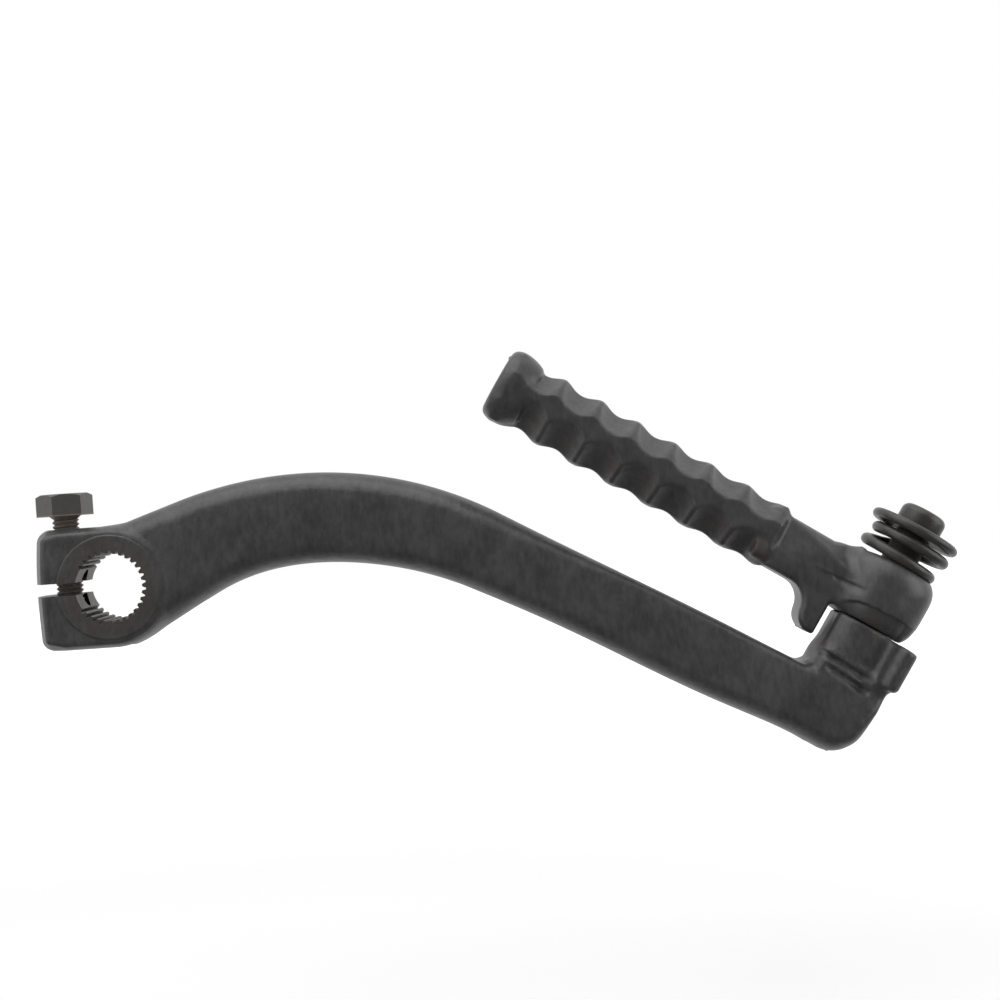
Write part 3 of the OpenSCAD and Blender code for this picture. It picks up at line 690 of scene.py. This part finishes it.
deep = put(sweep, "ShaderNodeMath", operation="MULTIPLY")
# The wire leans from one side of the pin to the other as it climbs.
lean = put(sweep, "ShaderNodeMath", {1: 2, 2: -1}, operation="MULTIPLY_ADD")
shift = put(sweep, "ShaderNodeMath", operation="MULTIPLY")
# Share of the climb that is done after so many turns.
climb = put(sweep, "ShaderNodeFloatCurve")
curve = climb.mapping.curves[0]
curve.points[0].location, curve.points[1].location = (0, 0), (1, 1)
for turn, share in ((0.2, 0.02), (0.39, 0.12), (0.5, 0.2), (0.64, 0.43), (0.8, 0.74),
                    (0.92, 0.78), (1.46, 0.86)):
    curve.points.new(turn / TURNS, share)
climb.mapping.update()
rise = put(sweep, "ShaderNodeMath", operation="MULTIPLY_ADD")
spot = put(sweep, "ShaderNodeCombineXYZ")
move = put(sweep, "GeometryNodeSetPosition")
profile = put(sweep, "GeometryNodeCurvePrimitiveCircle", {"Resolution": 24})
skin_wire = put(sweep, "GeometryNodeCurveToMesh", {"Fill Caps": True})
real = put(sweep, "GeometryNodeRealizeInstances")
finish = put(sweep, "GeometryNodeSetMaterial")
wire(sweep,
     ((line, "Curve"), (even, "Curve")),
     ((factor, "Factor"), (turned, 0)), ((given, "Turns"), (turned, 1)),
     ((turned, 0), (angle, 0)), ((angle, 0), (cosine, 0)), ((angle, 0), (sine, 0)),
     ((cosine, 0), (across, 0)), ((given, "Coil Radius"), (across, 1)),
     ((climb, 0), (lean, 0)), ((lean, 0), (shift, 0)), ((given, "Lean"), (shift, 1)),
     ((shift, 0), (across, 2)),
     ((sine, 0), (deep, 0)), ((given, "Coil Radius"), (deep, 1)),
     ((factor, "Factor"), (climb, "Value")),
     ((climb, 0), (rise, 0)), ((given, "Climb"), (rise, 1)), ((given, "Low"), (rise, 2)),
     ((across, 0), (spot, 0)), ((deep, 0), (spot, 1)), ((rise, 0), (spot, 2)),
     ((even, "Curve"), (move, "Geometry")), ((spot, 0), (move, "Position")),
     ((given, "Wire Radius"), (profile, "Radius")),
     ((move, "Geometry"), (skin_wire, "Curve")), ((profile, "Curve"), (skin_wire, "Profile Curve")),
     ((skin_wire, "Mesh"), (real, "Geometry")), ((real, "Geometry"), (finish, "Geometry")),
     ((given, "Paint"), (finish, "Material")), ((finish, "Geometry"), (result, "Geometry")))


def grown(name, tree, inputs):
    """Runs a Geometry Nodes tree once and keeps what it makes as a plain mesh."""
    mesh = bpy.data.meshes.new(name)
    obj = bpy.data.objects.new(name, mesh)
    bpy.context.collection.objects.link(obj)
    step = obj.modifiers.new("grow", "NODES")
    step.node_group = tree
    for item in tree.interface.items_tree:
        if item.in_out == "INPUT" and item.name in inputs:
            step[item.identifier] = inputs[item.name]
    bpy.context.view_layer.update()
    made = bpy.data.meshes.new_from_object(obj.evaluated_get(bpy.context.evaluated_depsgraph_get()))
    obj.modifiers.clear()
    obj.data = made
    made.name = name
    bpy.data.meshes.remove(mesh)
    made.shade_smooth()
    made.set_sharp_from_angle(angle=math.radians(50))
    return obj


spring = place(grown("spring_wire_coil", sweep, {"Paint": fitting_paint}), AT_PIVOT)
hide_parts("spring")
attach(spring, "lever")

# ---------------------------------------------------------------------------------------------
# Clamp bolt: a hexagon bolt with a cold formed head. Its thread shows under the head and in the
# slot. It passes the upper jaw freely and is screwed into the lower one.
# ---------------------------------------------------------------------------------------------
BOLT_TOP, HEAD_FLATS, HEAD_TALL, HEAD_TURN = 16.6, 11.0, 5.0, math.radians(17)
corner = HEAD_FLATS / 2 / math.cos(math.pi / 6)
hexagon = [(corner * math.cos(math.radians(60 * i)), corner * math.sin(math.radians(60 * i)))
           for i in range(6)]
head = place(prism("clamp_bolt_made", hexagon, 0, HEAD_TALL), ALONG_Y)
place(head, Matrix.Rotation(HEAD_TURN, 4, "Z"))
FACE, SPREAD = 5.3, 1.73
crown = lathe("crown", [
    (0, -1), (14, -1), (FACE + SPREAD * HEAD_TALL, 0), (FACE, HEAD_TALL), (0, HEAD_TALL)])
carve(head, [crown], "INTERSECT")
# The thread runs out to a narrower tip.
CREST, ROOT, THREAD_PITCH, SHANK, TIP_LENGTH = 3.0, 2.5, 1.0, 25.0, 1.2
AROUND, CUTS = 48, 8
heights = np.arange(0, SHANK - TIP_LENGTH, THREAD_PITCH / CUTS) - SHANK + 0.4
points, faces = [], []
for h in heights:
    start = min(1, (h - heights[0]) / TIP_LENGTH)
    for i in range(AROUND):
        wave = abs(2 * ((h / THREAD_PITCH - i / AROUND) % 1) - 1)
        r = ROOT - 0.3 + 0.3 * start + (CREST - ROOT) * start * min(1, 1.25 * wave)
        a = 2 * math.pi * i / AROUND
        points.append((r * math.cos(a), r * math.sin(a), h))
last = AROUND * (len(heights) - 1)
for ring in range(0, last, AROUND):
    for i in range(AROUND):
        j = (i + 1) % AROUND
        faces.append([ring + i, ring + j, ring + AROUND + j, ring + AROUND + i])
faces += [list(range(AROUND))[::-1], [last + i for i in range(AROUND)]]
thread = mesh_object("thread", points, faces)
neck = lathe("bolt_neck", [
    (0, -1.6), (ROOT, -1.6), (2.55, -0.9), (3.6, 0), (3.6, 0.4), (0, 0.4)], AROUND)
carve(head, [thread, neck], "UNION")
place(head, Matrix.Translation((BOLT_X * MM, 0, BOLT_TOP * MM)))
head.data.set_sharp_from_angle(angle=math.radians(40))

# Dark phosphated steel, with rust on the shank below the head.
bolt_steel, tree, skin = material("bolt_steel")
where = put(tree, "ShaderNodeTexCoord")
axes = put(tree, "ShaderNodeSeparateXYZ")
below = put(tree, "ShaderNodeMath", {1: (BOLT_TOP + 0.3) * MM}, operation="LESS_THAN")
mottle = put(tree, "ShaderNodeTexNoise", {"Scale": 700, "Detail": 4, "Roughness": 0.6})
clean = put(tree, "ShaderNodeMix", {
    "A": (0.098, 0.096, 0.089, 1), "B": (0.132, 0.129, 0.12, 1)}, data_type="RGBA")
rusty = put(tree, "ShaderNodeMix", {
    "A": (0.11, 0.094, 0.082, 1), "B": (0.24, 0.20, 0.17, 1)}, data_type="RGBA")
pick = put(tree, "ShaderNodeMix", data_type="RGBA")
# Bare steel is 0.6 metallic, and the rust takes 0.4 of that away.
keep = put(tree, "ShaderNodeMath", {0: 0.6}, operation="SUBTRACT")
part = put(tree, "ShaderNodeMath", {1: 0.4}, operation="MULTIPLY")
rough = put(tree, "ShaderNodeBump", {"Strength": 0.25, "Distance": 0.0003})
wire(tree, ((where, "Object"), (axes, 0)), ((axes, "Z"), (below, 0)),
     ((where, "Object"), (mottle, "Vector")), ((mottle, "Fac"), (clean, "Factor")),
     ((mottle, "Fac"), (rusty, "Factor")), ((below, 0), (pick, "Factor")),
     ((below, 0), (part, 0)), ((part, 0), (keep, 1)), ((keep, 0), (skin, "Metallic")),
     ((mottle, "Fac"), (rough, "Height")), ((rough, "Normal"), (skin, "Normal")),
     ((pick, "Result"), (skin, "Base Color")))
tree.links.new(clean.outputs["Result"], pick.inputs["A"])
tree.links.new(rusty.outputs["Result"], pick.inputs["B"])
skin.inputs["Roughness"].default_value = 0.42
head.data.materials.clear()
head.data.materials.append(bolt_steel)
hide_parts("clamp_bolt")
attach(head, "lever")

# ---------------------------------------------------------------------------------------------
# Studio: pale floor, three broad soft lamps, and a white ground for the camera and what shines.
# The ground that the paint reflects is dimmer on the camera's side, as in a room.
# ---------------------------------------------------------------------------------------------
world = bpy.data.worlds.new("studio")
bpy.context.scene.world = world
world.use_nodes = True
tree = world.node_tree
tree.nodes.clear()
out = put(tree, "ShaderNodeOutputWorld")
room = put(tree, "ShaderNodeBackground", {"Color": (1, 1, 1, 1), "Strength": 0.3})
ground = put(tree, "ShaderNodeBackground", {"Color": (1, 1, 1, 1)})
path = put(tree, "ShaderNodeLightPath")
through = put(tree, "ShaderNodeMath", operation="MAXIMUM")
seen = put(tree, "ShaderNodeMath", operation="MAXIMUM")
white = put(tree, "ShaderNodeMath", operation="MAXIMUM")
which = put(tree, "ShaderNodeMixShader")
where = put(tree, "ShaderNodeTexCoord")
facing = put(tree, "ShaderNodeVectorMath", {1: (0, 1, 0.55)}, operation="DOT_PRODUCT")
level = put(tree, "ShaderNodeMapRange", {
    "From Min": -0.6, "From Max": 0.6, "To Min": 0.12, "To Max": 1})
wire(tree, ((path, "Is Camera Ray"), (through, 0)), ((path, "Is Transmission Ray"), (through, 1)),
     ((through, 0), (seen, 0)), ((path, "Is Glossy Ray"), (seen, 1)),
     ((where, "Generated"), (facing, 0)), ((facing, "Value"), (level, "Value")),
     ((through, 0), (white, 0)), ((level, "Result"), (white, 1)),
     ((white, 0), (ground, "Strength")),
     ((seen, 0), (which, 0)), ((room, 0), (which, 1)), ((ground, 0), (which, 2)),
     ((which, 0), (out, "Surface")))

FLOOR, FLOOR_REACH = -110, 2500
floor = mesh_object("floor", [(x * FLOOR_REACH, y * FLOOR_REACH, FLOOR) for x, y in (
    (-1, -1), (1, -1), (1, 1), (-1, 1))], [(0, 1, 2, 3)])
paper, tree, skin = material("floor_paper")
skin.inputs["Base Color"].default_value = (0.6, 0.6, 0.6, 1)
skin.inputs["Roughness"].default_value = 0.9
glow = put(tree, "ShaderNodeEmission", {"Color": (1, 1, 1, 1)})
path = put(tree, "ShaderNodeLightPath")
where = put(tree, "ShaderNodeTexCoord")
away = put(tree, "ShaderNodeVectorMath", operation="LENGTH")
# The floor's own light is weaker under the lever, so that the lever's shadow stays.
level = put(tree, "ShaderNodeMapRange", {
    "From Min": 0.25, "From Max": 0.9, "To Min": 0.5, "To Max": 1})
through = put(tree, "ShaderNodeMath", operation="MAXIMUM")
seen = put(tree, "ShaderNodeMath", operation="MAXIMUM")
share = put(tree, "ShaderNodeMath", operation="MULTIPLY")
both = put(tree, "ShaderNodeAddShader")
wire(tree, ((path, "Is Camera Ray"), (through, 0)), ((path, "Is Transmission Ray"), (through, 1)),
     ((through, 0), (seen, 0)), ((path, "Is Glossy Ray"), (seen, 1)),
     ((where, "Object"), (away, 0)), ((away, "Value"), (level, "Value")),
     ((seen, 0), (share, 0)), ((level, "Result"), (share, 1)), ((share, 0), (glow, "Strength")),
     ((glow, 0), (both, 0)), ((skin, "BSDF"), (both, 1)))
tree.links.new(both.outputs[0], tree.nodes["Material Output"].inputs["Surface"])
floor.data.materials.append(paper)
floor.visible_glossy = False


MIDDLE = Vector((0.09, 0, 0))


def lamp(name, place_at, size, power):
    """A soft square lamp aimed at the middle of the lever, in metres and watts."""
    data = bpy.data.lights.new(name, "AREA")
    data.size, data.energy = size, power
    obj = bpy.data.objects.new(name, data)
    bpy.context.collection.objects.link(obj)
    obj.location = place_at
    obj.rotation_euler = (MIDDLE - Vector(place_at)).to_track_quat("-Z", "Y").to_euler()


lamp("above", (0.0, -0.25, 0.8), 1.0, 5)
lamp("left", (-0.75, -0.55, 0.3), 1.3, 4.8)
lamp("right", (0.95, -0.3, 0.05), 0.8, 4)

# The camera looks along +Y, rolled a little, at a point given in its own right and up.
DISTANCE, LOOK_RIGHT, LOOK_UP, ROLL, LENS = 429, 87.1, 19.45, math.radians(4), 67.97
camera = bpy.data.objects.new("camera", bpy.data.cameras.new("camera"))
bpy.context.collection.objects.link(camera)
right = Vector((math.cos(ROLL), 0, -math.sin(ROLL)))
up = Vector((math.sin(ROLL), 0, math.cos(ROLL)))
camera.matrix_world = Matrix((
    (right.x, up.x, 0, (LOOK_RIGHT * right.x + LOOK_UP * up.x) * MM),
    (0, 0, -1, -DISTANCE * MM),
    (right.z, up.z, 0, (LOOK_RIGHT * right.z + LOOK_UP * up.z) * MM),
    (0, 0, 0, 1)))
camera.data.lens = LENS
camera.data.clip_start, camera.data.clip_end = 0.01, 10
bpy.context.scene.camera = camera
bpy.context.scene.view_settings.view_transform = "Standard"
